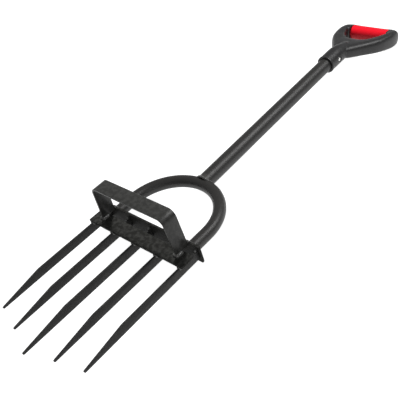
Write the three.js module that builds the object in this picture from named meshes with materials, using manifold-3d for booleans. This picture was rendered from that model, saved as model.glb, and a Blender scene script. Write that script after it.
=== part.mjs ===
// Lawn aerator fork: five steel blades under a head plate, a rear crossbar, a bent fulcrum
// bracket, a U-shaped yoke tube, a tubular shaft and a moulded D-handle with a soft grip.
// Units are millimetres. X runs across the head, +Y from the tines to the handle, +Z up.
// The origin is under the middle of the whole tool, on the surface that it lies on.

import * as THREE from 'three';
import { mergeVertices } from 'three/addons/utils/BufferGeometryUtils.js';
import Module from 'manifold-3d';

const wasm = await Module();
wasm.setup();

// ---------------------------------------------------------------- driving dimensions

const GAP = 0.3; // clearance kept between pieces that touch

// Rear crossbar, a flat bar on edge. Its lower edge rests on the ground.
const BAR_HEIGHT = 34;
const BAR_THICKNESS = 4;
const BAR_CORNER = 3;

// Head plate, a flat bar across the tines. An open slot is left between it and the crossbar.
const HEAD_WIDTH = 221;
const PLATE_DEPTH = 27;
const HEAD_DEPTH = 40; // front edge of the plate to the crossbar
const PLATE_THICKNESS = 5;
const PLATE_TOP = 29;
const PLATE_CORNER = 1;

// Tines, upright flat blades that get shorter from the middle to the sides. They run under
// the plate and across the slot, and end on the front face of the crossbar.
const TINE_COUNT = 5;
const TINE_PITCH = 52;
const TINE_THICKNESS = 4;
const TINE_HEIGHT = 16.6;
const TINE_TIP_HEIGHT = 3;
const TINE_LENGTHS = [198, 212, 231]; // outer, next, middle: plate edge to tip
const TINE_STRAIGHTS = [121, 132, 145]; // plate edge to the start of the slope

// Fulcrum bracket, one bent flat strap. Its feet stand on the plate and touch the crossbar.
const STRAP_WIDTH = 27;
const STRAP_THICKNESS = 3.5;
const STRAP_FRONT = 13;
const BRACKET_HEIGHT = 71.5;
const BRACKET_TOP_HALF = 83.5;
const BRACKET_FOOT_HALF = 89.4;
const BEND_RADIUS = 13.5;

// Yoke, a round tube bent to a half circle with short straight legs.
const YOKE_RADIUS = 88.2;
const YOKE_TUBE_RADIUS = 11;
const YOKE_WALL = 1.8;
const YOKE_CENTRE_Y = 80.5;
const YOKE_HEIGHT = 18;

// Shaft, a straight tube that rises slightly from the yoke towards the handle.
const SHAFT_RADIUS = 14.1;
const SHAFT_WALL = 1.6;
const SHAFT_RISE = THREE.MathUtils.degToRad(2.04);
const SHAFT_START = 5;
const SHAFT_LENGTH = 452;

// Handle, measured along the shaft from the middle of the yoke's arch.
const SOCKET_START = 393;
const SOCKET_RADIUS = 18;
const SOCKET_LIP_RADIUS = 18.6;
const SOCKET_LIP_LENGTH = 4;
const HANDLE_BEND = 432;
const HANDLE_DROP = THREE.MathUtils.degToRad(12);
const LOOP_ROUNDNESS = 0.68; // 1 is an oval section, less is squarer
const LOOP_INNER_ROUNDNESS = 0.5; // of the half that faces the finger opening
const GRIP_CENTRE = 140; // from the handle's bend to the middle of the grip bar
const GRIP_HALF_LENGTH = 43;
const GRIP_RADIUS = 14.8;
const GRIP_SKIN = 2.6;
const GRIP_SPINE_HALF_ANGLE = THREE.MathUtils.degToRad(50);

// Rivet through the socket and the shaft.
const RIVET_PLACE = 420;
const RIVET_SHANK = 2.4;
const RIVET_HEAD = 4.2;
const RIVET_HEAD_HEIGHT = 1.8;
const RECESS_RADIUS = 5.4;
const RECESS_DEPTH = 2.8;

const WELD_LEG = 3.2; // leg length of an ordinary fillet weld
const FOOT_WELD_LEG = 5; // of the heavier beads at the bracket's feet
const FOOT_WELD_START = 10.5; // from the plate's front edge
const TINE_WELD_START = -2.2; // a little in front of the plate's front edge
const TACK_LEG = 3.4;
const SEAM_TACK_LEG = 4.6;
const TACK_HALF_LENGTH = 4;
const SEAM_TACK_HALF_LENGTH = 3;
const SEAM_REACH = 5; // how far the yoke-to-shaft weld reaches out from the yoke
const SEAM_HEIGHT = 2.2; // and how far it stands off the shaft
const TUBE_SIDES = 24;

// Derived places
const BAR_FRONT = HEAD_DEPTH + GAP;
const BAR_BACK = BAR_FRONT + BAR_THICKNESS;
const PLATE_BOTTOM = PLATE_TOP - PLATE_THICKNESS;
const TINE_TOP = PLATE_BOTTOM - GAP;
const TINE_BOTTOM = PLATE_BOTTOM - TINE_HEIGHT;
const ARCH_Y = YOKE_CENTRE_Y + YOKE_RADIUS;
const LEG_TILT = Math.atan2(BRACKET_FOOT_HALF - BRACKET_TOP_HALF, BRACKET_HEIGHT);

// ---------------------------------------------------------------- solids and meshes

const TO_Y = new THREE.Matrix4().makeRotationX(Math.PI / 2); // an outline's depth runs to -Y
const TO_X = new THREE.Matrix4().makeBasis(
  new THREE.Vector3(0, 1, 0),
  new THREE.Vector3(0, 0, 1),
  new THREE.Vector3(1, 0, 0),
); // an outline drawn in Y and Z, with its depth along +X

function toSolid(geometry) {
  const bare = new THREE.BufferGeometry();
  bare.setAttribute('position', geometry.getAttribute('position'));
  if (geometry.index) bare.setIndex(geometry.index);
  const merged = mergeVertices(bare, 1e-4);
  const mesh = new wasm.Mesh({
    numProp: 3,
    vertProperties: new Float32Array(merged.getAttribute('position').array),
    triVerts: new Uint32Array(merged.index.array),
  });
  return new wasm.Manifold(mesh);
}

function toGeometry(solid) {
  const mesh = solid.getMesh();
  const geometry = new THREE.BufferGeometry();
  geometry.setAttribute('position', new THREE.BufferAttribute(mesh.vertProperties, 3));
  geometry.setIndex(new THREE.BufferAttribute(mesh.triVerts, 1));
  geometry.computeVertexNormals();
  return geometry;
}

function metal(color, roughness) {
  return new THREE.MeshStandardMaterial({ color, roughness, metalness: 0.35 });
}

function plastic(color, roughness) {
  return new THREE.MeshStandardMaterial({ color, roughness, metalness: 0 });
}

function addMesh(group, name, geometry, material) {
  const mesh = new THREE.Mesh(geometry, material);
  mesh.name = name;
  group.add(mesh);
  return mesh;
}

function outline(points) {
  return new THREE.Shape(points.map(([x, y]) => new THREE.Vector2(x, y)));
}

function extrude(shape, depth, curveSegments = 8) {
  return new THREE.ExtrudeGeometry(shape, { depth, bevelEnabled: false, curveSegments });
}

// An outline in X and Z, extruded from y0 to y1.
function extrudeAlongY(shape, y0, y1, curveSegments) {
  const geometry = extrude(shape, y1 - y0, curveSegments).applyMatrix4(TO_Y);
  return geometry.translate(0, y1, 0);
}

// An outline in Y and Z, extruded from x0 to x1.
function extrudeAlongX(shape, x0, x1, curveSegments) {
  const geometry = extrude(shape, x1 - x0, curveSegments).applyMatrix4(TO_X);
  return geometry.translate(x0, 0, 0);
}

function circle(radius) {
  const shape = new THREE.Shape();
  shape.absarc(0, 0, radius, 0, 2 * Math.PI, false);
  return shape;
}

function ring(outer, inner) {
  const shape = circle(outer);
  const hole = new THREE.Path();
  hole.absarc(0, 0, inner, 0, 2 * Math.PI, true);
  shape.holes.push(hole);
  return shape;
}

// A round bar along +Y from y0 to y1.
function rod(radius, y0, y1, sides = TUBE_SIDES) {
  return extrudeAlongY(circle(radius), y0, y1, sides / 2);
}

// ---------------------------------------------------------------- head

const headPaint = metal(0x2b2b29, 0.62);
const tinePaint = metal(0x303030, 0.6);
const strapPaint = metal(0x3b3b39, 0.58);
const tubePaint = metal(0x3a3938, 0.42);
const weldPaint = metal(0x3a3a38, 0.5);

function roundedBox(width, height, radius, bottomRadius) {
  const w = width / 2;
  const shape = new THREE.Shape();
  shape.moveTo(-w + bottomRadius, 0);
  shape.lineTo(w - bottomRadius, 0);
  shape.absarc(w - bottomRadius, bottomRadius, bottomRadius, -Math.PI / 2, 0, false);
  shape.lineTo(w, height - radius);
  shape.absarc(w - radius, height - radius, radius, 0, Math.PI / 2, false);
  shape.lineTo(-w + radius, height);
  shape.absarc(-w + radius, height - radius, radius, Math.PI / 2, Math.PI, false);
  shape.lineTo(-w, bottomRadius);
  shape.absarc(-w + bottomRadius, bottomRadius, bottomRadius, Math.PI, 1.5 * Math.PI, false);
  return shape;
}

function addHead(group) {
  const barShape = roundedBox(HEAD_WIDTH, BAR_HEIGHT, BAR_CORNER, 1);
  addMesh(group, 'rear_crossbar', extrudeAlongY(barShape, BAR_FRONT, BAR_BACK, 4), headPaint);

  const plateShape = roundedBox(HEAD_WIDTH, PLATE_DEPTH, 0.5, PLATE_CORNER);
  const plate = addMesh(group, 'head_plate', extrude(plateShape, PLATE_THICKNESS, 4), headPaint);
  plate.position.z = PLATE_BOTTOM;
}

// ---------------------------------------------------------------- tines

function tineX(index) {
  return (index - (TINE_COUNT - 1) / 2) * TINE_PITCH;
}

function tineRank(index) {
  return Math.min(index, TINE_COUNT - 1 - index);
}

function tineProfile(length, straight) {
  const tipRound = 2;
  const shape = new THREE.Shape();
  shape.moveTo(HEAD_DEPTH, TINE_BOTTOM);
  shape.lineTo(HEAD_DEPTH, TINE_TOP);
  shape.lineTo(-straight, TINE_TOP);
  shape.lineTo(-length + tipRound, TINE_BOTTOM + TINE_TIP_HEIGHT);
  shape.quadraticCurveTo(-length, TINE_BOTTOM + TINE_TIP_HEIGHT - 0.6, -length, TINE_BOTTOM + 1.2);
  shape.quadraticCurveTo(-length, TINE_BOTTOM, -length + tipRound, TINE_BOTTOM);
  return shape;
}

// A concave fillet of weld in the corner between a tine's side and the plate's underside.
function filletSection(side) {
  const inner = GAP;
  const outer = WELD_LEG + GAP;
  return outline([
    [side * inner, -inner],
    [side * outer, -inner],
    [side * (inner + WELD_LEG * 0.5), -(inner + WELD_LEG * 0.5)],
    [side * inner, -outer],
  ]);
}

function addTines(group) {
  const beadEnd = PLATE_DEPTH - GAP;
  for (let i = 0; i < TINE_COUNT; i += 1) {
    const rank = tineRank(i);
    const x = tineX(i);
    const profile = tineProfile(TINE_LENGTHS[rank], TINE_STRAIGHTS[rank]);
    const half = TINE_THICKNESS / 2;
    const blade = extrudeAlongX(profile, -half, half, 4);
    addMesh(group, `tine_${i + 1}`, blade, tinePaint).position.x = x;
    for (const [side, word] of [[-1, 'left'], [1, 'right']]) {
      const bead = extrudeAlongY(filletSection(side), TINE_WELD_START, beadEnd, 1);
      const mesh = addMesh(group, `tine_${i + 1}_weld_${word}`, bead, weldPaint);
      mesh.position.set(x + side * half, 0, PLATE_BOTTOM);
    }
  }
}

// A short tack in the corner between each tine's top edge and the crossbar.
function addSeamTacks(group) {
  const section = outline([
    [0, 0],
    [0, SEAM_TACK_LEG],
    [-SEAM_TACK_LEG * 0.7, SEAM_TACK_LEG * 0.6],
    [-SEAM_TACK_LEG, 0],
  ]);
  const half = SEAM_TACK_HALF_LENGTH;
  for (let i = 0; i < TINE_COUNT; i += 1) {
    const tack = extrudeAlongX(section, -half, half, 1);
    const mesh = addMesh(group, `seam_tack_${i + 1}`, tack, weldPaint);
    mesh.position.set(tineX(i), HEAD_DEPTH, TINE_TOP + GAP);
  }
}

// ---------------------------------------------------------------- fulcrum bracket

// The strap's inner or outer outline: its bend and the width of its feet, a distance in
// from the outer face.
function strapSide(inset) {
  const centreZ = BRACKET_HEIGHT - BEND_RADIUS;
  const faceX = BRACKET_TOP_HALF + BEND_RADIUS * Math.tan(LEG_TILT);
  const centreX = faceX - BEND_RADIUS / Math.cos(LEG_TILT);
  const footX = BRACKET_FOOT_HALF - inset / Math.cos(LEG_TILT);
  return { radius: BEND_RADIUS - inset, centreX, centreZ, footX };
}

function addBracket(group) {
  const outer = strapSide(0);
  const inner = strapSide(STRAP_THICKNESS);
  const up = Math.PI / 2;
  const turn = up - LEG_TILT;
  const shape = new THREE.Shape();
  shape.moveTo(-outer.footX, 0);
  shape.lineTo(-inner.footX, 0);
  shape.absarc(-inner.centreX, inner.centreZ, inner.radius, up + turn, up, true);
  shape.absarc(inner.centreX, inner.centreZ, inner.radius, up, up - turn, true);
  shape.lineTo(inner.footX, 0);
  shape.lineTo(outer.footX, 0);
  shape.absarc(outer.centreX, outer.centreZ, outer.radius, up - turn, up, false);
  shape.absarc(-outer.centreX, outer.centreZ, outer.radius, up, up + turn, false);
  const strap = extrudeAlongY(shape, STRAP_FRONT, STRAP_FRONT + STRAP_WIDTH, 6);
  addMesh(group, 'fulcrum_bracket', strap, strapPaint).position.z = PLATE_TOP + GAP;
}

// A bead's outline in the corner between a bracket leg and the plate. It goes outwards from
// the leg where away is 1 and inwards where it is -1, and follows the leg's lean.
function footBead(side, faceX, away) {
  const points = [
    [faceX, 0],
    [faceX + away * FOOT_WELD_LEG, 0],
    [faceX + away * FOOT_WELD_LEG * 0.55, FOOT_WELD_LEG * 0.62],
    [faceX - FOOT_WELD_LEG * Math.tan(LEG_TILT), FOOT_WELD_LEG],
  ];
  return outline(points.map(([x, z]) => [side * x, z]));
}

// Beads along both faces of each foot, and a tack behind each leg on the crossbar's top.
function addBracketWelds(group) {
  const beadEnd = PLATE_DEPTH - GAP;
  const innerFace = BRACKET_FOOT_HALF - STRAP_THICKNESS / Math.cos(LEG_TILT);
  const tackMiddle = BRACKET_FOOT_HALF - 3;
  const tackSection = outline([
    [0, 0],
    [TACK_LEG, 0],
    [TACK_LEG * 0.7, TACK_LEG * 0.6],
    [0, TACK_LEG],
  ]);
  for (const [side, word] of [[-1, 'left'], [1, 'right']]) {
    const outerBead = footBead(side, BRACKET_FOOT_HALF + GAP, 1);
    const innerBead = footBead(side, innerFace - GAP, -1);
    for (const [shape, face] of [[outerBead, 'outer'], [innerBead, 'inner']]) {
      const bead = extrudeAlongY(shape, FOOT_WELD_START, beadEnd, 1);
      const mesh = addMesh(group, `bracket_${word}_weld_${face}`, bead, weldPaint);
      mesh.position.z = PLATE_TOP + GAP;
    }
    const tack = extrudeAlongX(tackSection, -TACK_HALF_LENGTH, TACK_HALF_LENGTH, 1);
    const mesh = addMesh(group, `bracket_${word}_tack`, tack, weldPaint);
    mesh.position.set(side * tackMiddle, BAR_FRONT, BAR_HEIGHT + GAP);
  }
}

// ---------------------------------------------------------------- yoke

// The yoke tube's middle line: a straight leg, a half circle and a straight leg.
class YokeCurve extends THREE.Curve {
  constructor(startY) {
    super();
    this.leg = YOKE_CENTRE_Y - startY;
    this.startY = startY;
    this.arc = Math.PI * YOKE_RADIUS;
  }

  getPoint(t, target = new THREE.Vector3()) {
    const s = t * (2 * this.leg + this.arc);
    if (s < this.leg) return target.set(-YOKE_RADIUS, this.startY + s, 0);
    if (s > this.leg + this.arc) {
      return target.set(YOKE_RADIUS, YOKE_CENTRE_Y - (s - this.leg - this.arc), 0);
    }
    const angle = (s - this.leg) / YOKE_RADIUS;
    return target.set(
      -YOKE_RADIUS * Math.cos(angle),
      YOKE_CENTRE_Y + YOKE_RADIUS * Math.sin(angle),
      0,
    );
  }
}

function yokeSweep(shape, startY, steps) {
  const options = { steps, curveSegments: TUBE_SIDES / 2, extrudePath: new YokeCurve(startY) };
  return new THREE.ExtrudeGeometry(shape, options).translate(0, 0, YOKE_HEIGHT);
}

function addYoke(group) {
  const tube = ring(YOKE_TUBE_RADIUS, YOKE_TUBE_RADIUS - YOKE_WALL);
  addMesh(group, 'yoke_tube', yokeSweep(tube, BAR_BACK + GAP, 40), tubePaint);
}

// A fillet ring where each end of the yoke meets the back of the crossbar.
function addYokeWelds(group) {
  const inner = YOKE_TUBE_RADIUS + GAP;
  const profile = [
    [inner, 0],
    [inner + WELD_LEG, 0],
    [inner + WELD_LEG * 0.5, WELD_LEG * 0.6],
    [inner, WELD_LEG],
    [inner, 0],
  ].map(([x, y]) => new THREE.Vector2(x, y));
  for (const [side, word] of [[-1, 'left'], [1, 'right']]) {
    const bead = new THREE.LatheGeometry(profile, TUBE_SIDES);
    const mesh = addMesh(group, `yoke_${word}_weld`, bead, weldPaint);
    mesh.position.set(side * YOKE_RADIUS, BAR_BACK + GAP, YOKE_HEIGHT);
  }
}

// ---------------------------------------------------------------- shaft

// The place of the shaft: it starts at the arch and rises along its own axis.
function shaftMatrix() {
  const turn = new THREE.Matrix4().makeRotationX(SHAFT_RISE);
  return turn.setPosition(0, ARCH_Y, YOKE_HEIGHT);
}

function rivetHole(radius) {
  const length = 3 * SOCKET_RADIUS;
  const hole = extrudeAlongX(circle(radius), -length / 2, length / 2, 8);
  return toSolid(hole.translate(0, RIVET_PLACE, 0));
}

function addShaft(group) {
  const yokeSpace = toSolid(yokeSweep(circle(YOKE_TUBE_RADIUS + GAP), BAR_BACK, 60));
  const end = SHAFT_START + SHAFT_LENGTH;
  const wall = ring(SHAFT_RADIUS, SHAFT_RADIUS - SHAFT_WALL);
  const drilled = toSolid(extrudeAlongY(wall, SHAFT_START, end, TUBE_SIDES / 2))
    .subtract(rivetHole(RIVET_SHANK + GAP));
  const place = shaftMatrix();
  const shaft = toSolid(toGeometry(drilled).applyMatrix4(place)).subtract(yokeSpace);
  addMesh(group, 'shaft_tube', toGeometry(shaft), tubePaint);

  // The weld around the saddle-shaped seam fills the space where a collar on the shaft and
  // a thicker yoke would meet.
  const thickYoke = toSolid(yokeSweep(circle(YOKE_TUBE_RADIUS + SEAM_REACH), BAR_BACK, 60));
  const collar = ring(SHAFT_RADIUS + SEAM_HEIGHT, SHAFT_RADIUS + GAP);
  const band = extrudeAlongY(collar, SHAFT_START - 1, 2 * SHAFT_RADIUS, TUBE_SIDES / 2);
  const bead = toSolid(band.applyMatrix4(place)).intersect(thickYoke).subtract(yokeSpace);
  addMesh(group, 'shaft_weld', toGeometry(bead), weldPaint);
}

// ---------------------------------------------------------------- handle

// Half of the handle's loop, from the neck to the grip bar. Each row pairs a point on the
// outer edge with the nearest point on the finger opening: half width and distance past
// the bend for the one, then the same for the other, then the loop's thickness.
const LOOP_STATIONS = [
  [0, 9, 0, 77, 28],
  [14, 11, 8.5, 77.3, 28],
  [23.5, 23, 15.5, 78.2, 28],
  [34, 39, 22.5, 80.5, 28],
  [47, 59, 28.5, 85.5, 29],
  [57.5, 79, 34.5, 93.5, 30],
  [64, 104, 40.5, 105.5, 31.5],
  [66, 127, 44.8, 115.5, 32.5],
  [62, 146, 44.5, 122, 32],
  [49, 154.5, 37.5, 125, 30.2],
  [24, 155, 20, 125, 29.6],
  [0, 155, 0, 125, 29.6],
];
const GRIP_SPACE_REACH = 7; // how far the space for the sleeve is cut out past the bar
const LOOP_STEPS = 60;
const LOOP_SECTION_SIDES = 16;

// A closed curve through half of the loop's points and their mirror images, in plan. Its
// height is half of the loop's thickness.
function loopCurve(column) {
  const right = LOOP_STATIONS.map((row) => {
    const halfThickness = row[4] / 2;
    return new THREE.Vector3(row[column], row[column + 1], halfThickness);
  });
  const left = right.slice(1, -1).map((p) => new THREE.Vector3(-p.x, p.y, p.z));
  return new THREE.CatmullRomCurve3([...right, ...left.reverse()], true, 'centripetal');
}

// The moulded loop: one rounded section carried around between its outer and inner edges.
function handleLoop() {
  const outer = loopCurve(0);
  const inner = loopCurve(2);
  const positions = [];
  const triangles = [];
  for (let i = 0; i < LOOP_STEPS; i += 1) {
    const out = outer.getPoint(i / LOOP_STEPS);
    const into = inner.getPoint(i / LOOP_STEPS);
    const centre = out.clone().add(into).multiplyScalar(0.5);
    const half = out.clone().sub(into).multiplyScalar(0.5);
    for (let j = 0; j < LOOP_SECTION_SIDES; j += 1) {
      const angle = (2 * Math.PI * j) / LOOP_SECTION_SIDES;
      const facesIn = Math.cos(angle) < 0;
      const roundness = facesIn ? LOOP_INNER_ROUNDNESS : LOOP_ROUNDNESS;
      const across = squared(Math.cos(angle), roundness);
      const up = squared(Math.sin(angle), roundness) * centre.z;
      positions.push(centre.x + half.x * across, centre.y + half.y * across, up);
      const nextI = (i + 1) % LOOP_STEPS;
      const nextJ = (j + 1) % LOOP_SECTION_SIDES;
      const here = i * LOOP_SECTION_SIDES + j;
      const along = nextI * LOOP_SECTION_SIDES + j;
      const around = i * LOOP_SECTION_SIDES + nextJ;
      const both = nextI * LOOP_SECTION_SIDES + nextJ;
      triangles.push(here, along, both, here, both, around);
    }
  }
  const loop = new THREE.BufferGeometry();
  loop.setAttribute('position', new THREE.Float32BufferAttribute(positions, 3));
  loop.setIndex(triangles);
  return toSolid(loop.applyMatrix4(bendMatrix()));
}

// Pushes a sine or cosine outwards, so that a circle becomes a rounded square.
function squared(value, roundness) {
  return Math.sign(value) * Math.abs(value) ** roundness;
}

// The loop leaves the socket's axis at the bend and drops towards its far end.
function bendMatrix() {
  const turn = new THREE.Matrix4().makeRotationX(-HANDLE_DROP);
  return turn.setPosition(0, HANDLE_BEND, 0);
}

// The socket, with a slightly raised lip at its mouth and a tapered root inside the loop.
function handleSocket() {
  const root = HANDLE_BEND + 56;
  const profile = [
    [0, SOCKET_START],
    [SOCKET_LIP_RADIUS, SOCKET_START],
    [SOCKET_LIP_RADIUS, SOCKET_START + SOCKET_LIP_LENGTH],
    [SOCKET_RADIUS, SOCKET_START + SOCKET_LIP_LENGTH + 2],
    [SOCKET_RADIUS, HANDLE_BEND],
    [SOCKET_RADIUS - 2, HANDLE_BEND + 26],
    [SOCKET_RADIUS - 7, root - 6],
    [0, root],
  ].map(([x, y]) => new THREE.Vector2(x, y));
  return toSolid(new THREE.LatheGeometry(profile, TUBE_SIDES));
}

// A sleeve that wraps the grip bar, open along a spine at the back. The space for it in the
// handle is larger by an extra at its ends and sides, and reaches out past the bar.
function gripSleeve(extra, reach) {
  const outer = GRIP_RADIUS + reach;
  const inner = GRIP_RADIUS - GRIP_SKIN - extra;
  const start = GRIP_SPINE_HALF_ANGLE - extra / inner;
  const shape = new THREE.Shape();
  shape.absarc(0, 0, outer, start, 2 * Math.PI - start, false);
  shape.absarc(0, 0, inner, 2 * Math.PI - start, start, true);
  const half = GRIP_HALF_LENGTH + extra;
  const sleeve = extrudeAlongX(shape, -half, half, 12).translate(0, GRIP_CENTRE, 0);
  return toSolid(sleeve.applyMatrix4(bendMatrix()));
}

function addHandle(group) {
  const boreEnd = SHAFT_START + SHAFT_LENGTH + GAP;
  const bore = toSolid(rod(SHAFT_RADIUS + GAP, SOCKET_START - 5, boreEnd));
  const recess = (side) => {
    const floor = SOCKET_RADIUS - RECESS_DEPTH;
    const ends = side < 0 ? [-2 * SOCKET_RADIUS, -floor] : [floor, 2 * SOCKET_RADIUS];
    const cut = extrudeAlongX(circle(RECESS_RADIUS), ends[0], ends[1], 8);
    return toSolid(cut.translate(0, RIVET_PLACE, 0));
  };
  const body = handleLoop()
    .add(handleSocket())
    .subtract(bore)
    .subtract(rivetHole(RIVET_SHANK + GAP))
    .subtract(recess(-1))
    .subtract(recess(1))
    .subtract(gripSleeve(GAP, GRIP_SPACE_REACH));
  const place = shaftMatrix();
  addMesh(group, 'handle_body', toGeometry(body).applyMatrix4(place), plastic(0x2a2a2c, 0.45));

  const sleeve = toGeometry(gripSleeve(0, 0)).applyMatrix4(place);
  addMesh(group, 'handle_grip', sleeve, plastic(0xd8141f, 0.55));
  addMesh(group, 'handle_rivet', rivet().applyMatrix4(place), metal(0xc8c8c8, 0.25));
}

// A rivet along X with a domed head at both ends.
function rivet() {
  const seat = SOCKET_RADIUS - RECESS_DEPTH + GAP;
  const top = seat + RIVET_HEAD_HEIGHT;
  const half = [
    [RIVET_SHANK, seat],
    [RIVET_HEAD, seat],
    [RIVET_HEAD, seat + RIVET_HEAD_HEIGHT * 0.4],
    [RIVET_HEAD * 0.7, top],
    [0, top],
  ];
  const lower = half.map(([r, y]) => [r, -y]).reverse();
  const profile = [...lower, ...half].map(([r, y]) => new THREE.Vector2(r, y));
  const lathe = new THREE.LatheGeometry(profile, 16).rotateZ(-Math.PI / 2);
  return lathe.translate(0, RIVET_PLACE, 0);
}

// ---------------------------------------------------------------- assembly

const tool = new THREE.Group();
addHead(tool);
addTines(tool);
addSeamTacks(tool);
addBracket(tool);
addBracketWelds(tool);
addYoke(tool);
addYokeWelds(tool);
addShaft(tool);
addHandle(tool);

// Lay the tool down so that the crossbar's lower edge and the handle both touch the ground.
function lowestPoint(name) {
  const mesh = tool.getObjectByName(name);
  const position = mesh.geometry.getAttribute('position');
  const lowest = new THREE.Vector3(0, 0, Infinity);
  const point = new THREE.Vector3();
  for (let i = 0; i < position.count; i += 1) {
    point.fromBufferAttribute(position, i).applyMatrix4(mesh.matrixWorld);
    if (point.z < lowest.z) lowest.copy(point);
  }
  return lowest;
}

const LAYING_ROUNDS = 3; // the lowest point moves a little as the tool turns
for (let i = 0; i < LAYING_ROUNDS; i += 1) {
  tool.updateMatrixWorld(true);
  const front = lowestPoint('rear_crossbar');
  const back = lowestPoint('handle_body');
  tool.rotation.x += Math.atan2(front.z - back.z, back.y - front.y);
}
tool.updateMatrixWorld(true);

// Put the origin under the middle of the whole tool.
const box = new THREE.Box3().setFromObject(tool, true);
tool.position.y = -(box.min.y + box.max.y) / 2;
tool.position.z = -box.min.z;

const part = new THREE.Group();
part.add(tool);

export default part;
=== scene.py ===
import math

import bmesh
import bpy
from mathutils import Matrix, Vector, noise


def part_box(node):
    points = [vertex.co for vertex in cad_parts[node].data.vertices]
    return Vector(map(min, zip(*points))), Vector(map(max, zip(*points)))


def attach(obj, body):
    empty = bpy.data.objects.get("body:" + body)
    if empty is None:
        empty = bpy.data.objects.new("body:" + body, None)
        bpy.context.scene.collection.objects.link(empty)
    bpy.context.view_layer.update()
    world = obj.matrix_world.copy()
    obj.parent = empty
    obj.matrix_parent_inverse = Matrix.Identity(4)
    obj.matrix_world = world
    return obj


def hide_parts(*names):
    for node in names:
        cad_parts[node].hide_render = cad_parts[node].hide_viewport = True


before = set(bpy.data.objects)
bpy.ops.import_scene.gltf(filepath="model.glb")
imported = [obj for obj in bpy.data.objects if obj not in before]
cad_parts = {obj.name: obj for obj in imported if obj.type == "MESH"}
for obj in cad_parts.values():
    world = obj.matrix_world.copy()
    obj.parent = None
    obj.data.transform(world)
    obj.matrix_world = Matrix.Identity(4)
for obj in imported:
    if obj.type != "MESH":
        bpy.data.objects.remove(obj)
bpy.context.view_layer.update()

# Lawn aerator fork: the detailed pieces, their materials, the floor, the light and the camera.
# Working units are millimetres in the tool's own frame: X across the head, Y from the front
# edge of the head plate towards the handle, Z square to the plate, from the crossbar's lower
# edge. place() turns them into the frame's metres.

MM = 0.001

# ------------------------------------------------------------------ dimensions

BAR_FRONT = 40.3
BAR_BACK = 44.3
BAR_HEIGHT = 34
HEAD_HALF = 110.5
PLATE_BACK = 27  # a slot is left between the plate and the crossbar
PLATE_TOP = 29
PLATE_BOTTOM = 24

TINE_PITCH = 52
TINE_THICKNESS = 4
TINE_BACK = 40.2
TINE_TOP = 23.7
TINE_BOTTOM = 7.4
TINE_TIP_HEIGHT = 3
TINE_LENGTHS = (198, 212, 231)  # outer, next and middle tine
TINE_STRAIGHTS = (121, 132, 145)

STRAP_FRONT = 13
STRAP_BACK = 40
BRACKET_HEIGHT = 71.5
BRACKET_FOOT_Z = 29.3
STRAP_THICKNESS = 3.5
BRACKET_TOP_HALF = 83.5
BRACKET_FOOT_HALF = 89.4
BEND_RADIUS = 13.5

YOKE_RADIUS = 88.2
YOKE_TUBE_RADIUS = 11
YOKE_CENTRE_Y = 80.5
YOKE_HEIGHT = 18
ARCH_Y = YOKE_CENTRE_Y + YOKE_RADIUS

SHAFT_RADIUS = 14.1
SHAFT_RISE = math.radians(2.04)
SHAFT_START = 5
SHAFT_END = 450

SOCKET_START = 393
SOCKET_RADIUS = 18
SOCKET_LIP_RADIUS = 18.6
HANDLE_BEND = 432
HANDLE_DROP = math.radians(12)
GRIP_CENTRE = 140
GRIP_HALF_LENGTH = 43
GRIP_RADIUS = 14.8
GRIP_SKIN = 2.6
GRIP_SPINE_HALF_ANGLE = math.radians(50)
RIVET_PLACE = 420
RECESS_RADIUS = 5.4
RECESS_DEPTH = 2.8

TINE_BEAD_RADIUS = 2.6
SEAM_TACK_RADIUS = 4.3
FOOT_BEAD_RADIUS = 3.8
FOOT_BEAD_START = 10.5
LEG_TACK_RADIUS = 2.4
LEG_TACK_HALF_LENGTH = 3.4
YOKE_BEAD_RADIUS = 2.4
SHAFT_BEAD_RADIUS = 2.1

# The tool lies on its crossbar and its handle, so it's tilted a little. The head plate's box
# says by how much, and where the tool is.
PLATE_LOW, PLATE_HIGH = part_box("head_plate")
PLATE_THICKNESS = PLATE_TOP - PLATE_BOTTOM
LYING_TILT = math.asin(
    (PLATE_HIGH.z - PLATE_LOW.z) / MM / math.hypot(PLATE_BACK, PLATE_THICKNESS)
) - math.atan2(PLATE_THICKNESS, PLATE_BACK)
TILT_COS, TILT_SIN = math.cos(LYING_TILT), math.sin(LYING_TILT)
HEAD_Y = PLATE_LOW.y / MM + PLATE_TOP * TILT_SIN
HEAD_Z = PLATE_HIGH.z / MM - PLATE_BACK * TILT_SIN - PLATE_TOP * TILT_COS


def place(x, y, z):
    """A point of the tool, in the frame's metres."""
    return Vector((
        x * MM,
        (HEAD_Y + y * TILT_COS - z * TILT_SIN) * MM,
        (HEAD_Z + y * TILT_SIN + z * TILT_COS) * MM,
    ))


def shaft_place(x, y, z):
    """A point in the shaft's frame: y along the shaft from the middle of the yoke's arch."""
    cos, sin = math.cos(SHAFT_RISE), math.sin(SHAFT_RISE)
    return place(x, ARCH_Y + y * cos - z * sin, YOKE_HEIGHT + y * sin + z * cos)


def handle_place(x, y, z):
    """A point in the handle's frame: y past the bend, tilted down from the shaft."""
    cos, sin = math.cos(HANDLE_DROP), math.sin(HANDLE_DROP)
    return shaft_place(x, HANDLE_BEND + y * cos + z * sin, z * cos - y * sin)


# ------------------------------------------------------------------ materials


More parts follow.
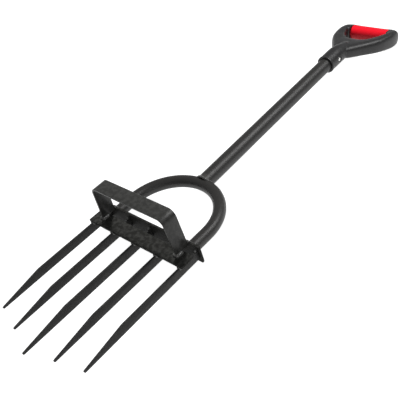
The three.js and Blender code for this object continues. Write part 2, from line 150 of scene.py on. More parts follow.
class Nodes:
    """A small helper to write node trees in few lines."""

    def __init__(self, name):
        self.material = bpy.data.materials.new(name)
        self.material.use_nodes = True
        self.tree = self.material.node_tree
        self.shader = self.tree.nodes["Principled BSDF"]
        self.coords = self.tree.nodes.new("ShaderNodeTexCoord").outputs["Object"]

    def link(self, source, target):
        self.tree.links.new(source, target)

    def noise(self, scale, detail=3.0, roughness=0.5, stretch=None):
        node = self.tree.nodes.new("ShaderNodeTexNoise")
        node.inputs["Scale"].default_value = scale
        node.inputs["Detail"].default_value = detail
        node.inputs["Roughness"].default_value = roughness
        vector = self.coords
        if stretch:
            mapping = self.tree.nodes.new("ShaderNodeMapping")
            mapping.inputs["Scale"].default_value = stretch
            self.link(vector, mapping.inputs["Vector"])
            vector = mapping.outputs["Vector"]
        self.link(vector, node.inputs["Vector"])
        return node.outputs["Fac"]

    def ramp(self, source, low, high, from_value, to_value):
        node = self.tree.nodes.new("ShaderNodeMapRange")
        node.inputs["From Min"].default_value = low
        node.inputs["From Max"].default_value = high
        node.inputs["To Min"].default_value = from_value
        node.inputs["To Max"].default_value = to_value
        self.link(source, node.inputs["Value"])
        return node.outputs["Result"]

    def mix(self, factor, first, second):
        node = self.tree.nodes.new("ShaderNodeMix")
        node.data_type = "RGBA"
        self.link(factor, node.inputs["Factor"])
        for socket, value in ((node.inputs["A"], first), (node.inputs["B"], second)):
            if isinstance(value, tuple):
                socket.default_value = (*value, 1.0)
            else:
                self.link(value, socket)
        return node.outputs["Result"]

    def math(self, operation, first, second):
        node = self.tree.nodes.new("ShaderNodeMath")
        node.operation = operation
        for socket, value in zip(node.inputs, (first, second)):
            if isinstance(value, (int, float)):
                socket.default_value = value
            else:
                self.link(value, socket)
        return node.outputs["Value"]

    def bump(self, height, distance_mm, strength=1.0):
        node = self.tree.nodes.new("ShaderNodeBump")
        node.inputs["Strength"].default_value = strength
        node.inputs["Distance"].default_value = distance_mm * MM
        self.link(height, node.inputs["Height"])
        self.link(node.outputs["Normal"], self.shader.inputs["Normal"])

    def edges(self, low=0.505, high=0.56):
        """About 1 on convex edges and 0 elsewhere, broken up by noise."""
        geometry = self.tree.nodes.new("ShaderNodeNewGeometry")
        sharp = self.ramp(geometry.outputs["Pointiness"], low, high, 0.0, 1.0)
        patches = self.ramp(self.noise(140, 4.0), 0.42, 0.62, 0.15, 1.0)
        return self.math("MULTIPLY", sharp, patches)


def powder_coat(name, dark, light, worn, roughness, grain_mm, specular=0.5, streaks=None):
    """Paint baked onto steel: an orange-peel skin, faint patches, rubbed edges."""
    n = Nodes(name)
    patches = n.ramp(n.noise(22, 5.0, 0.6, streaks), 0.25, 0.75, 0.0, 1.0)
    base = n.mix(patches, dark, light)
    speck = n.ramp(n.noise(900, 2.0), 0.35, 0.75, 0.0, 0.45)
    base = n.mix(speck, base, light)
    n.link(n.mix(n.edges(), base, worn), n.shader.inputs["Base Color"])
    gloss = n.ramp(n.noise(60, 4.0), 0.3, 0.7, roughness - 0.02, roughness + 0.03)
    n.link(gloss, n.shader.inputs["Roughness"])
    n.shader.inputs["Specular IOR Level"].default_value = specular
    peel = n.noise(1 / (grain_mm * MM), 2.0, 0.45)
    n.bump(peel, 0.08, 0.4)
    return n.material


def moulded_plastic(name):
    """Black nylon with a fine spark-eroded grain."""
    n = Nodes(name)
    tone = n.ramp(n.noise(35, 4.0), 0.3, 0.7, 0.0, 1.0)
    base = n.mix(tone, (0.014, 0.014, 0.0145), (0.018, 0.018, 0.0187))
    n.link(n.mix(n.edges(0.51, 0.6), base, (0.06, 0.06, 0.06)), n.shader.inputs["Base Color"])
    gloss = n.ramp(n.noise(90, 3.0), 0.3, 0.7, 0.38, 0.48)
    n.link(gloss, n.shader.inputs["Roughness"])
    n.shader.inputs["Specular IOR Level"].default_value = 0.5
    n.bump(n.noise(1600, 2.0, 0.6), 0.05, 0.5)
    return n.material


def red_rubber(name):
    """Soft-touch rubber, a little paler on the raised points of its grain."""
    n = Nodes(name)
    tone = n.ramp(n.noise(70, 4.0, 0.6), 0.3, 0.7, 0.0, 1.0)
    base = n.mix(tone, (0.9, 0.006, 0.018), (0.97, 0.011, 0.03))
    grain = n.noise(1300, 2.0, 0.55)
    pale = n.ramp(grain, 0.6, 0.8, 0.0, 0.25)
    n.link(n.mix(pale, base, (0.92, 0.03, 0.045)), n.shader.inputs["Base Color"])
    gloss = n.ramp(n.noise(120, 3.0), 0.3, 0.7, 0.5, 0.62)
    n.link(gloss, n.shader.inputs["Roughness"])
    n.shader.inputs["Specular IOR Level"].default_value = 0.2
    n.bump(grain, 0.08, 0.6)
    return n.material


def bare_steel(name):
    """A zinc-plated rivet with turning marks and a few dull spots."""
    n = Nodes(name)
    spots = n.ramp(n.noise(500, 4.0, 0.6), 0.45, 0.7, 0.0, 1.0)
    n.link(n.mix(spots, (0.78, 0.78, 0.76), (0.45, 0.45, 0.44)), n.shader.inputs["Base Color"])
    gloss = n.ramp(n.noise(700, 3.0), 0.3, 0.7, 0.2, 0.38)
    n.link(gloss, n.shader.inputs["Roughness"])
    n.shader.inputs["Metallic"].default_value = 1.0
    n.bump(n.noise(2500, 2.0), 0.03, 0.4)
    return n.material


HEAD_COAT = powder_coat(
    "head_powder_coat", (0.0155, 0.0155, 0.0143), (0.0175, 0.0175, 0.0162), (0.05, 0.05, 0.047),
    0.55, 0.9, specular=0.05)
TINE_COAT = powder_coat(
    "tine_powder_coat", (0.0225, 0.0225, 0.022), (0.0275, 0.0275, 0.027), (0.055, 0.055, 0.054),
    0.5, 1.1, specular=0.2, streaks=(1.0, 0.35, 1.0))
STRAP_COAT = powder_coat(
    "bracket_powder_coat", (0.0255, 0.0255, 0.024), (0.0285, 0.0285, 0.027),
    (0.07, 0.07, 0.067), 0.36, 0.9, specular=0.28)
TUBE_COAT = powder_coat(
    "tube_powder_coat", (0.0195, 0.0187, 0.0177), (0.0225, 0.0216, 0.0205),
    (0.05, 0.048, 0.045), 0.43, 0.8)
# The weld beads carry the same black coat as the rest, but their base colour is about three
# times lighter: painted highlight, for the light their lumps catch.
WELD_COAT_PAINTED_HIGHLIGHT = powder_coat(
    "weld_bead", (0.05, 0.05, 0.048), (0.075, 0.075, 0.072), (0.14, 0.14, 0.135),
    0.3, 0.6, specular=0.6)
PLASTIC = moulded_plastic("handle_black_plastic")
RUBBER = red_rubber("grip_red_rubber")
STEEL = bare_steel("rivet_steel")

# ------------------------------------------------------------------ mesh helpers


def add_piece(name, verts, faces, material, slot, replaced=(), sharp_degrees=35):
    mesh = bpy.data.meshes.new(name)
    mesh.from_pydata(verts, [], faces)
    work = bmesh.new()
    work.from_mesh(mesh)
    bmesh.ops.recalc_face_normals(work, faces=work.faces)
    work.to_mesh(mesh)
    work.free()
    mesh.materials.append(material)
    piece = bpy.data.objects.new(name, mesh)
    bpy.context.scene.collection.objects.link(piece)
    shade(mesh, sharp_degrees)
    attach(piece, "root")
    if replaced:
        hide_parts(*replaced)
    return piece


def shade(mesh, sharp_degrees):
    mesh.shade_smooth()
    mesh.set_sharp_from_angle(angle=math.radians(sharp_degrees))


def round_edges(piece, width_mm, segments=3):
    """Rounds the piece's sharp edges for good."""
    bevel = piece.modifiers.new("rounded_edges", "BEVEL")
    bevel.width = width_mm * MM
    bevel.segments = segments
    bevel.limit_method = "ANGLE"
    bevel.angle_limit = math.radians(35)
    bevel.use_clamp_overlap = True
    bake_modifiers(piece)
    shade(piece.data, 40)


def bake_modifiers(piece):
    graph = bpy.context.evaluated_depsgraph_get()
    graph.update()
    made = bpy.data.meshes.new_from_object(piece.evaluated_get(graph))
    old = piece.data
    piece.modifiers.clear()
    piece.data = made
    made.name = piece.name
    if not made.materials and old.materials:
        made.materials.append(old.materials[0])
    bpy.data.meshes.remove(old)


def rings_to_faces(ring_count, sides, closed):
    """Quads between rings of points, with a cap at each end of an open run."""
    faces = []
    runs = ring_count if closed else ring_count - 1
    for i in range(runs):
        here = i * sides
        there = ((i + 1) % ring_count) * sides
        for j in range(sides):
            k = (j + 1) % sides
            faces.append((here + j, here + k, there + k, there + j))
    if not closed:
        faces.append(tuple(range(sides)))
        last = (ring_count - 1) * sides
        faces.append(tuple(last + j for j in range(sides)))
    return faces


def prism(name, outline, to_place, low, high, **kwargs):
    """An outline of (u, v) points, extruded from low to high along w."""
    count = len(outline)
    verts = [to_place(u, v, w) for w in (low, high) for u, v in outline]
    return add_piece(name, verts, rings_to_faces(2, count, False), **kwargs)


def lathe(name, profile, to_place, sides, closed_profile=False, **kwargs):
    """A profile of (radius, along) points turned about an axis. to_place takes x, along, z."""
    verts = []
    for i in range(sides):
        angle = 2 * math.pi * i / sides
        for radius, along in profile:
            verts.append(to_place(radius * math.cos(angle), along, radius * math.sin(angle)))
    count = len(profile)
    faces = []
    for i in range(sides):
        here, there = i * count, ((i + 1) % sides) * count
        steps = count if closed_profile else count - 1
        for j in range(steps):
            k = (j + 1) % count
            faces.append((here + j, here + k, there + k, there + j))
    piece = add_piece(name, verts, faces, **kwargs)
    merge_poles(piece.data)
    return piece


def merge_poles(mesh):
    work = bmesh.new()
    work.from_mesh(mesh)
    bmesh.ops.remove_doubles(work, verts=work.verts, dist=1e-6)
    bmesh.ops.recalc_face_normals(work, faces=work.faces)
    work.to_mesh(mesh)
    work.free()


def arc(centre_u, centre_v, radius, start, end, steps):
    points = []
    for i in range(steps + 1):
        angle = start + (end - start) * i / steps
        points.append((centre_u + radius * math.cos(angle), centre_v + radius * math.sin(angle)))
    return points


def tube_rings(centres, radius, sides, radii=None):
    """Rings round a line of points in metres. The line is flat enough for one up vector."""
    verts = []
    count = len(centres)
    up = Vector((0, 0, 1))
    for i, centre in enumerate(centres):
        ahead = centres[min(i + 1, count - 1)]
        behind = centres[max(i - 1, 0)]
        tangent = (ahead - behind).normalized()
        across = tangent.cross(up).normalized()
        rise = across.cross(tangent)
        size = radius if radii is None else radii[i]
        for j in range(sides):
            angle = 2 * math.pi * j / sides
            offset = across * math.cos(angle) + rise * math.sin(angle)
            verts.append(centre + offset * size * MM)
    return verts


def weld_bead(name, points, radius, replaced, closed=False, ripple=2.3, seed=0.0):
    """A bead along points in metres: overlapping ripples, uneven width, rounded ends."""
    step = 0.5 * MM
    ripple_depth = 0.11
    unevenness = 0.10
    lump_scale = 260
    blunt_end = 0.12  # the first and last ring keep a little width
    line = resample(points, step, closed)
    count = len(line)
    length = count * step / MM
    radii = []
    for i, point in enumerate(line):
        along = i * step / MM
        phase = (along / ripple) % 1.0
        size = radius * (0.93 + ripple_depth * math.sqrt(max(0.0, 1 - phase * phase)))
        size *= 1 + unevenness * noise.noise(point * lump_scale + Vector((seed, 0, 0)))
        if not closed:
            from_end = min(along, length - along) + blunt_end
            if from_end < radius:
                size *= math.sqrt(1 - (1 - from_end / radius) ** 2)
        radii.append(size)
    sides = 12
    if closed:
        verts = closed_rings(line, radii, sides)
    else:
        verts = tube_rings(line, radius, sides, radii)
    return add_piece(
        name, verts, rings_to_faces(count, sides, closed), WELD_COAT_PAINTED_HIGHLIGHT, "weld_bead",
        replaced, sharp_degrees=60)


def closed_rings(line, radii, sides):
    verts = []
    count = len(line)
    middle = sum(line, Vector()) / count
    for i, centre in enumerate(line):
        tangent = (line[(i + 1) % count] - line[i - 1]).normalized()
        outward = (centre - middle).normalized()
        across = tangent.cross(outward).normalized()
        outward = across.cross(tangent)
        for j in range(sides):
            angle = 2 * math.pi * j / sides
            offset = outward * math.cos(angle) + across * math.sin(angle)
            verts.append(centre + offset * radii[i] * MM)
    return verts


def resample(points, step, closed):
    """Points at an even step along a polyline."""
    line = list(points) + ([points[0]] if closed else [])
    lengths = [(b - a).length for a, b in zip(line, line[1:])]
    total = sum(lengths)
    count = max(6, round(total / step))
    result = []
    segment, done = 0, 0.0
    for i in range(count if closed else count + 1):
        target = total * i / count
        while segment < len(lengths) - 1 and done + lengths[segment] < target:
            done += lengths[segment]
            segment += 1
        share = (target - done) / lengths[segment]
        result.append(line[segment].lerp(line[segment + 1], min(1.0, share)))
    return result


# ------------------------------------------------------------------ head


def build_crossbar():
    corner = 3
    low_corner = 1
    outline = []
    for u, v, r, start in (
        (HEAD_HALF, 0, low_corner, -90), (HEAD_HALF, BAR_HEIGHT, corner, 0),
        (-HEAD_HALF, BAR_HEIGHT, corner, 90), (-HEAD_HALF, 0, low_corner, 180),
    ):
        centre_u = u - math.copysign(r, u)
        centre_v = r if v == 0 else v - r
        first = math.radians(start)
        outline += arc(centre_u, centre_v, r, first, first + math.pi / 2, 6)
    bar = prism(
        "crossbar", outline, lambda u, v, w: place(u, w, v), BAR_FRONT, BAR_BACK,
        material=HEAD_COAT, slot="head_powder_coat", replaced=("rear_crossbar",))
    round_edges(bar, 0.5)


def build_plate():
    half = HEAD_HALF
    outline = [(-half, 0), (half, 0), (half, PLATE_BACK), (-half, PLATE_BACK)]
    plate = prism(
        "foot_plate", outline, place, PLATE_BOTTOM, PLATE_TOP,
        material=HEAD_COAT, slot="head_powder_coat", replaced=("head_plate",))
    round_edges(plate, 0.7)


def build_tines():
    half = TINE_THICKNESS / 2
    for number in range(1, 6):
        node = f"tine_{number}"
        x = (number - 3) * TINE_PITCH
        rank = min(number - 1, 5 - number)
        tip = -TINE_LENGTHS[rank]
        slope_start = -TINE_STRAIGHTS[rank]
        bottom, top = TINE_BOTTOM, TINE_TOP
        under_plate = top + 0.2
        outline = [
            (TINE_BACK, bottom),
            (TINE_BACK, top),
            (PLATE_BACK, top),
            (PLATE_BACK - 1, under_plate),
            (0, under_plate),
            (-1, top),
            (slope_start + 3, top),
            (slope_start, top - 0.25),
            (slope_start - 3, top - 0.8),
            (tip + 2, bottom + TINE_TIP_HEIGHT),
            (tip + 0.5, bottom + TINE_TIP_HEIGHT - 0.7),
            (tip, bottom + TINE_TIP_HEIGHT * 0.5),
            (tip + 0.5, bottom + 0.5),
            (tip + 2, bottom),
        ]
        blade = prism(
            f"blade_{number}", outline, lambda u, v, w: place(w, u, v), x - half, x + half,
            material=TINE_COAT, slot="tine_powder_coat", replaced=(node,))
        round_edges(blade, 0.45)
        for side, word in ((-1, "left"), (1, "right")):
            corner_x = x + side * (half + 0.3)
            height = PLATE_BOTTOM - 0.5
            bead_start, bead_end = -1.6, PLATE_BACK - 1
            points = [place(corner_x, y, height) for y in (bead_start, bead_end)]
            weld_bead(
                f"blade_{number}_bead_{word}", points, TINE_BEAD_RADIUS,
                (f"{node}_weld_{word}",), seed=number * 7 + side)


def build_seam_tacks():
    """Lumps of weld in the corner between each tine's top edge and the crossbar."""
    height = TINE_TOP + 1.6
    y = BAR_FRONT - 2
    half = 1
    for number in range(1, 6):
        x = (number - 3) * TINE_PITCH
        points = [place(x - half, y, height), place(x + half, y, height)]
        weld_bead(
            f"plate_tack_{number}", points, SEAM_TACK_RADIUS, (f"seam_tack_{number}",),
            seed=number * 11)


# ------------------------------------------------------------------ bracket


def strap_line(inset, foot_z):
    """Half of the strap's outer or inner line, from the foot to the middle of the top."""
    lean = math.atan2(BRACKET_FOOT_HALF - BRACKET_TOP_HALF, BRACKET_HEIGHT)
    centre_z = foot_z + BRACKET_HEIGHT - BEND_RADIUS
    face_x = BRACKET_TOP_HALF + BEND_RADIUS * math.tan(lean)
    centre_x = face_x - BEND_RADIUS / math.cos(lean)
    foot_x = BRACKET_FOOT_HALF - inset / math.cos(lean)
    bend = arc(centre_x, centre_z, BEND_RADIUS - inset, lean, math.pi / 2, 14)
    return [(foot_x, foot_z)] + bend


def build_bracket():
    foot_z = BRACKET_FOOT_Z - 0.2
    outer = strap_line(0, foot_z)
    inner = strap_line(STRAP_THICKNESS, foot_z)
    outer = [(-x, z) for x, z in outer] + outer[::-1]
    inner = [(-x, z) for x, z in inner] + inner[::-1]
    verts = []
    for (ox, oz), (ix, iz) in zip(outer, inner):
        verts += [
            place(ox, STRAP_FRONT, oz),
            place(ox, STRAP_BACK, oz),
            place(ix, STRAP_BACK, iz),
            place(ix, STRAP_FRONT, iz),
        ]
    strap = add_piece(
        "bracket_strap", verts, rings_to_faces(len(outer), 4, False), STRAP_COAT,
        "bracket_powder_coat", ("fulcrum_bracket",))
    round_edges(strap, 0.6)

    height = PLATE_TOP + 0.9
    bead_end = PLATE_BACK - 1.5
    tack_x = BRACKET_FOOT_HALF - 3
    for side, word in ((-1, "left"), (1, "right")):
        for face in ("outer", "inner"):
            if face == "outer":
                x = side * (BRACKET_FOOT_HALF + 0.9)
            else:
                x = side * (BRACKET_FOOT_HALF - STRAP_THICKNESS - 1)
            points = [place(x, y, height) for y in (FOOT_BEAD_START, bead_end)]
            weld_bead(
                f"foot_bead_{word}_{face}", points, FOOT_BEAD_RADIUS,
                (f"bracket_{word}_weld_{face}",), seed=side * 3)
        points = [
            place(side * tack_x + shift, BAR_FRONT + 1.7, BAR_HEIGHT + 0.6)
            for shift in (-LEG_TACK_HALF_LENGTH, LEG_TACK_HALF_LENGTH)
        ]
        weld_bead(
            f"leg_tack_{word}", points, LEG_TACK_RADIUS, (f"bracket_{word}_tack",), seed=side)


# ------------------------------------------------------------------ yoke and shaft


def build_yoke():
    centres = []
    leg_start = BAR_BACK - 0.2
    leg_steps = 12
    for i in range(leg_steps):
        along = leg_start + (YOKE_CENTRE_Y - leg_start) * i / leg_steps
        centres.append((-YOKE_RADIUS, along))
    arc_steps = 96
    for i in range(arc_steps + 1):
        angle = math.pi * i / arc_steps
        x = -YOKE_RADIUS * math.cos(angle)
        centres.append((x, YOKE_CENTRE_Y + YOKE_RADIUS * math.sin(angle)))
    for i in range(1, leg_steps + 1):
        along = YOKE_CENTRE_Y + (leg_start - YOKE_CENTRE_Y) * i / leg_steps
        centres.append((YOKE_RADIUS, along))
    line = [place(x, y, YOKE_HEIGHT) for x, y in centres]
    sides = 48
    verts = tube_rings(line, YOKE_TUBE_RADIUS, sides)
    add_piece(
        "yoke_bent_tube", verts, rings_to_faces(len(line), sides, False), TUBE_COAT,
        "tube_powder_coat", ("yoke_tube",))
    reach = YOKE_TUBE_RADIUS + 0.5
    for side, word in ((-1, "left"), (1, "right")):
        ring = []
        for i in range(sides):
            angle = 2 * math.pi * i / sides
            ring.append(place(
                side * YOKE_RADIUS + reach * math.cos(angle), BAR_BACK + 0.6,
                YOKE_HEIGHT + reach * math.sin(angle)))
        weld_bead(
            f"yoke_bead_{word}", ring, YOKE_BEAD_RADIUS, (f"yoke_{word}_weld",), True,
            seed=side * 5)


def saddle_start(x, z):
    """Where the shaft's wall at (x, z) meets the yoke tube, along the shaft."""
    if abs(z) >= YOKE_TUBE_RADIUS:
        return SHAFT_START
    reach = YOKE_RADIUS + math.sqrt(YOKE_TUBE_RADIUS ** 2 - z * z)
    return max(SHAFT_START, math.sqrt(reach * reach - x * x) - YOKE_RADIUS)


def build_shaft():
    sides = 64
    verts = []
    seam = []
    steps = 40
    for i in range(steps + 1):
        for j in range(sides):
            angle = 2 * math.pi * j / sides
            x, z = SHAFT_RADIUS * math.cos(angle), SHAFT_RADIUS * math.sin(angle)
            start = saddle_start(x, z)
            along = start + (SHAFT_END - start) * i / steps
            verts.append(shaft_place(x, along, z))
            if i == 0:
                seam.append(shaft_place(x * 0.99, start - 0.4, z * 0.99))
    add_piece(
        "shaft_round_tube", verts, rings_to_faces(steps + 1, sides, False), TUBE_COAT,
        "tube_powder_coat", ("shaft_tube",))
    weld_bead("shaft_bead", seam, SHAFT_BEAD_RADIUS, ("shaft_weld",), True, ripple=2.6)


# ------------------------------------------------------------------ handle

# Half of the handle's loop: a point on its outer edge and the matching point on the finger
# opening, as half width and distance past the bend, then the loop's thickness.
LOOP_STATIONS = (
    (0, 9, 0, 77, 28),
    (14, 11, 8.5, 77.3, 28),
    (23.5, 23, 15.5, 78.2, 28),
    (34, 39, 22.5, 80.5, 28),
    (47, 59, 28.5, 85.5, 29),
    (57.5, 79, 34.5, 93.5, 30),
    (64, 104, 40.5, 105.5, 31.5),
    (66, 127, 44.8, 115.5, 32.5),
    (62, 146, 44.5, 122, 32),
    (49, 154.4, 37.5, 125, 30.2),
    (24, 154.9, 20, 125, 29.6),
    (0, 154.9, 0, 125, 29.6),
)
LOOP_ROUNDNESS = 0.74
LOOP_INNER_ROUNDNESS = 0.52  # of the half that faces the finger opening


def closed_spline(points, steps):
    """A centripetal Catmull-Rom curve round a closed list of points."""
    count = len(points)
    result = []
    for i in range(count):
        p0, p1, p2, p3 = (points[(i + k - 1) % count] for k in range(4))
        d1 = math.sqrt((p1 - p0).length)
        d2 = math.sqrt((p2 - p1).length)
        d3 = math.sqrt((p3 - p2).length)
        m1 = d2 * ((p1 - p0) / d1 - (p2 - p0) / (d1 + d2) + (p2 - p1) / d2)
        m2 = d2 * ((p2 - p1) / d2 - (p3 - p1) / (d2 + d3) + (p3 - p2) / d3)
        for k in range(steps):
            t = k / steps
            a = 2 * t ** 3 - 3 * t ** 2 + 1
            b = t ** 3 - 2 * t ** 2 + t
            c = -2 * t ** 3 + 3 * t ** 2
            d = t ** 3 - t ** 2
            result.append(p1 * a + m1 * b + p2 * c + m2 * d)
    return result


def squared(value, roundness):
    return math.copysign(abs(value) ** roundness, value)


def loop_mesh():
    """The loop's skin, as points in metres and faces."""
    edges = []
    for column in (0, 2):
        right = [Vector((row[column], row[column + 1], row[4] / 2)) for row in LOOP_STATIONS]
        left = [Vector((-p.x, p.y, p.z)) for p in right[1:-1]]
        edges.append(closed_spline(right + left[::-1], 8))
    verts = []
    sides = 32
    for outer, inner in zip(*edges):
        middle = (outer + inner) / 2
        half = (outer - inner) / 2
        for j in range(sides):
            angle = 2 * math.pi * j / sides
            roundness = LOOP_INNER_ROUNDNESS if math.cos(angle) < 0 else LOOP_ROUNDNESS
            point = middle + half * squared(math.cos(angle), roundness)
            rise = squared(math.sin(angle), roundness) * middle.z
            verts.append(handle_place(point.x, point.y, rise))
    return verts, rings_to_faces(len(edges[0]), sides, True)


def socket_mesh():
    """The socket's skin, with a root that fades into the loop."""
    profile = (
        (0, SOCKET_START + 2), (SOCKET_RADIUS, SOCKET_START + 2),
        (SOCKET_RADIUS, HANDLE_BEND - 4), (SOCKET_RADIUS - 0.4, HANDLE_BEND + 8),
        (SOCKET_RADIUS - 2, HANDLE_BEND + 22), (SOCKET_RADIUS - 5, HANDLE_BEND + 38),
        (SOCKET_RADIUS - 9, HANDLE_BEND + 50), (0, HANDLE_BEND + 56),
    )
    sides = 64
    bend_follow = 0.55  # the root leans down with the loop
    verts = []
    for radius, along in profile:
        past = max(0.0, along - HANDLE_BEND)
        sink = past * math.sin(HANDLE_DROP) * bend_follow
        for j in range(sides):
            angle = 2 * math.pi * j / sides
            rise = radius * math.sin(angle) - sink
            verts.append(shaft_place(radius * math.cos(angle), along, rise))
    return verts, rings_to_faces(len(profile), sides, False)


def cutter(name, verts, faces):
    """A shape that only cuts others. It's removed again before the end."""
    mesh = bpy.data.meshes.new(name)
    mesh.from_pydata(verts, [], faces)
    work = bmesh.new()
    work.from_mesh(mesh)
    bmesh.ops.remove_doubles(work, verts=work.verts, dist=1e-6)
    bmesh.ops.recalc_face_normals(work, faces=work.faces)
    work.to_mesh(mesh)
    work.free()
    piece = bpy.data.objects.new(name, mesh)
    bpy.context.scene.collection.objects.link(piece)
    return piece


def grip_section(outer, inner, spine):
    """The sleeve's outline in Y and Z about the bar's middle, open towards +Y."""
    steps = 48
    points = arc(0, 0, outer, spine, 2 * math.pi - spine, steps)
    points += arc(0, 0, inner, 2 * math.pi - spine, spine, steps)
    return points


def grip_shape(extra, reach):
    """The sleeve's space in the handle, wider by extra and reaching out past its skin."""
    inner = GRIP_RADIUS - GRIP_SKIN - extra
    section = grip_section(GRIP_RADIUS + reach, inner, GRIP_SPINE_HALF_ANGLE - extra / inner)
    half = GRIP_HALF_LENGTH + extra
    verts = []
    for w in (-half, half):
        verts += [handle_place(w, GRIP_CENTRE + u, v) for u, v in section]
    return verts, rings_to_faces(2, len(section), False)


def rod_shape(to_place, radius, low, high, sides=48):
    verts = []
    for along in (low, high):
        for j in range(sides):
            angle = 2 * math.pi * j / sides
            verts.append(to_place(radius * math.cos(angle), along, radius * math.sin(angle)))
    return verts, rings_to_faces(2, sides, False)


def rivet_place(x, along, z):
    """A point in the rivet's frame, whose length runs across the shaft along X."""
    return shaft_place(along, RIVET_PLACE + x, z)


def build_handle():
    loop_verts, loop_faces = loop_mesh()
    socket_verts, socket_faces = socket_mesh()
    shift = len(loop_verts)
    faces = loop_faces + [tuple(shift + i for i in face) for face in socket_faces]
    body = add_piece(
        "handle_moulding", loop_verts + socket_verts, faces, PLASTIC,
        "handle_black_plastic", ("handle_body",))
    merged = body.modifiers.new("merged", "REMESH")
    merged.mode = "VOXEL"
    merged.voxel_size = 0.9 * MM
    smooth = body.modifiers.new("faired", "SMOOTH")
    smooth.factor = 0.5
    smooth.iterations = 14
    bake_modifiers(body)

    bore_low, bore_high = SOCKET_START - 9, SOCKET_START + 30
    seat, clear = SOCKET_RADIUS - RECESS_DEPTH, 2 * SOCKET_RADIUS
    cutters = [
        cutter("cut_grip", *grip_shape(0.15, 8)),
        cutter("cut_bore", *rod_shape(shaft_place, SHAFT_RADIUS + 0.4, bore_low, bore_high)),
        cutter("cut_recess_left", *rod_shape(rivet_place, RECESS_RADIUS, -clear, -seat)),
        cutter("cut_recess_right", *rod_shape(rivet_place, RECESS_RADIUS, seat, clear)),
    ]
    for tool in cutters:
        cut = body.modifiers.new(tool.name, "BOOLEAN")
        cut.operation = "DIFFERENCE"
        cut.solver = "EXACT"
        cut.object = tool
    bake_modifiers(body)
    for tool in cutters:
        mesh = tool.data
        bpy.data.objects.remove(tool)
        bpy.data.meshes.remove(mesh)
    shade(body.data, 42)

    lip = SOCKET_LIP_RADIUS
    bore = SHAFT_RADIUS + 0.5
    collar = [
        (bore, SOCKET_START + 6), (bore, SOCKET_START + 0.8), (bore + 0.7, SOCKET_START + 0.1),
        (lip - 0.8, SOCKET_START), (lip - 0.2, SOCKET_START + 0.4), (lip, SOCKET_START + 1.2),
        (lip, SOCKET_START + 3.4), (lip - 0.3, SOCKET_START + 4.2),
        (SOCKET_RADIUS - 0.4, SOCKET_START + 5),
        (SOCKET_RADIUS - 0.6, SOCKET_START + 6),
    ]
    lathe(
        "socket_collar", collar, shaft_place, 72, closed_profile=True,
        material=PLASTIC, slot="handle_black_plastic")


def build_grip():
    half = GRIP_HALF_LENGTH
    edge = 1.1  # the rounding at each end
    stations = [(-half, edge), (-half + 0.3, 0.4), (-half + edge, 0.0)]
    count = 40
    for i in range(1, count):
        stations.append((-half + edge + (2 * half - 2 * edge) * i / count, 0.0))
    stations += [(half - edge, 0.0), (half - 0.3, 0.4), (half, edge)]
    verts = []
    for x, drop in stations:
        swell = 0.35 * (1 - (x / half) ** 2)
        outer = GRIP_RADIUS - 0.35 + swell - drop
        section = grip_section(outer, GRIP_RADIUS - GRIP_SKIN + 0.05, GRIP_SPINE_HALF_ANGLE)
        verts += [handle_place(x, GRIP_CENTRE + u, v) for u, v in section]
    add_piece(
        "grip_sleeve", verts, rings_to_faces(len(stations), len(section), False), RUBBER,
        "grip_red_rubber", ("handle_grip",))


def build_rivet():
    seat = SOCKET_RADIUS - RECESS_DEPTH + 0.1
    shape = (
        (2.4, -1.2), (2.4, 0), (4.0, 0), (4.2, 0.25), (4.2, 0.7), (3.9, 1.15),
        (3.2, 1.55), (2.2, 1.8), (1.3, 1.88), (1.15, 1.5), (0.9, 1.1), (0, 1.0),
    )
    head = [(radius, seat + rise) for radius, rise in shape]
    profile = [(r, -along) for r, along in reversed(head)][:-1] + head[1:]
    lathe(
        "socket_rivet", profile, rivet_place, 40,
        material=STEEL, slot="rivet_steel", replaced=("handle_rivet",))


build_crossbar()
build_plate()
build_tines()
build_seam_tacks()
build_bracket()
build_yoke()
build_shaft()
build_handle()
build_grip()
build_rivet()

# ------------------------------------------------------------------ floor, light, camera


def build_floor():
    half = 6.0
    level = -0.0004  # metres, just under the tool
    mesh = bpy.data.meshes.new("studio_floor")
    corners = [
        (-half, -half, level), (half, -half, level), (half, half, level), (-half, half, level),
    ]
    mesh.from_pydata(corners, [], [(0, 1, 2, 3)])
    n = Nodes("studio_floor")
    tone = n.ramp(n.noise(3, 2.0), 0.3, 0.7, 0.0, 1.0)
    n.link(n.mix(tone, (0.30, 0.30, 0.30), (0.32, 0.32, 0.32)), n.shader.inputs["Base Color"])
    n.shader.inputs["Roughness"].default_value = 0.9
    n.shader.inputs["Specular IOR Level"].default_value = 0.1
    n.shader.inputs["Emission Color"].default_value = (1, 1, 1, 1)
    n.shader.inputs["Emission Strength"].default_value = 0.97
    mesh.materials.append(n.material)
    floor = bpy.data.objects.new("studio_floor", mesh)
    bpy.context.scene.collection.objects.link(floor)
    floor.visible_diffuse = False  # the floor is bright, but throws no light up at the tool


def area_light(name, aim, direction, distance, size, energy):
    """A round soft light, distance metres from the point it's aimed at."""
    data = bpy.data.lights.new(name, "AREA")
    data.shape = "DISK"
    data.size = size
    data.energy = energy
    lamp = bpy.data.objects.new(name, data)
    bpy.context.scene.collection.objects.link(lamp)
    towards = Vector(direction).normalized()
    lamp.location = aim + towards * distance
    lamp.rotation_mode = "QUATERNION"
    lamp.rotation_quaternion = towards.to_track_quat("Z", "Y")
    return lamp


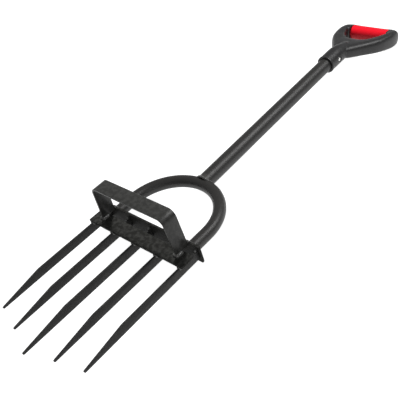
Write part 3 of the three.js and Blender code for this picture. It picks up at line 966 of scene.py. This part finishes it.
def build_lights():
    world = bpy.data.worlds.new("studio")
    world.use_nodes = True
    background = world.node_tree.nodes["Background"]
    background.inputs["Color"].default_value = (1, 1, 1, 1)
    background.inputs["Strength"].default_value = 0.27
    bpy.context.scene.world = world
    head = place(0, 20, PLATE_TOP)
    shaft = shaft_place(0, 180, 0)
    key = area_light(
        "key", head, direction=(-34, 44, 80), distance=3.2, size=0.35, energy=104)
    key.visible_glossy = False
    area_light("fill", head, direction=(70, -35, 30), distance=2.6, size=1.6, energy=9)
    strip = area_light(
        "strip", shaft, direction=(0.42, 0.47, 0.78), distance=2.4, size=1.25, energy=30)
    strip.visible_diffuse = False  # it only draws the bright line along the shaft


# The camera stands to the right of the head and above it. It looks down along the tool and is
# rolled to its right. Its place and its angles are in the tool's own frame.
CAMERA_PLACE = (638.46, -331.13, 648.07)
CAMERA_HEADING = math.radians(142.749)  # from +X towards +Y
CAMERA_DIP = math.radians(39.241)
CAMERA_ROLL = math.radians(17.242)
CAMERA_LENS = 53.336


def tool_direction(x, y, z):
    """A direction of the tool's own frame, turned as the tool lies."""
    return (place(x, y, z) - place(0, 0, 0)).normalized()


def build_camera():
    data = bpy.data.cameras.new("camera")
    data.lens = CAMERA_LENS
    data.sensor_width = 36
    data.clip_start = 0.01
    data.clip_end = 50
    camera = bpy.data.objects.new("camera", data)
    bpy.context.scene.collection.objects.link(camera)
    cos_heading, sin_heading = math.cos(CAMERA_HEADING), math.sin(CAMERA_HEADING)
    cos_dip, sin_dip = math.cos(CAMERA_DIP), math.sin(CAMERA_DIP)
    here = place(*CAMERA_PLACE)
    forward = tool_direction(cos_heading * cos_dip, sin_heading * cos_dip, -sin_dip)
    level = tool_direction(sin_heading, -cos_heading, 0)
    rise = level.cross(forward)
    right = level * math.cos(CAMERA_ROLL) - rise * math.sin(CAMERA_ROLL)
    up = right.cross(forward)
    turn = Matrix((right, up, -forward)).transposed()
    camera.matrix_world = Matrix.Translation(here) @ turn.to_4x4()
    bpy.context.scene.camera = camera


build_floor()
build_lights()
build_camera()
bpy.context.scene.view_settings.view_transform = "Standard"
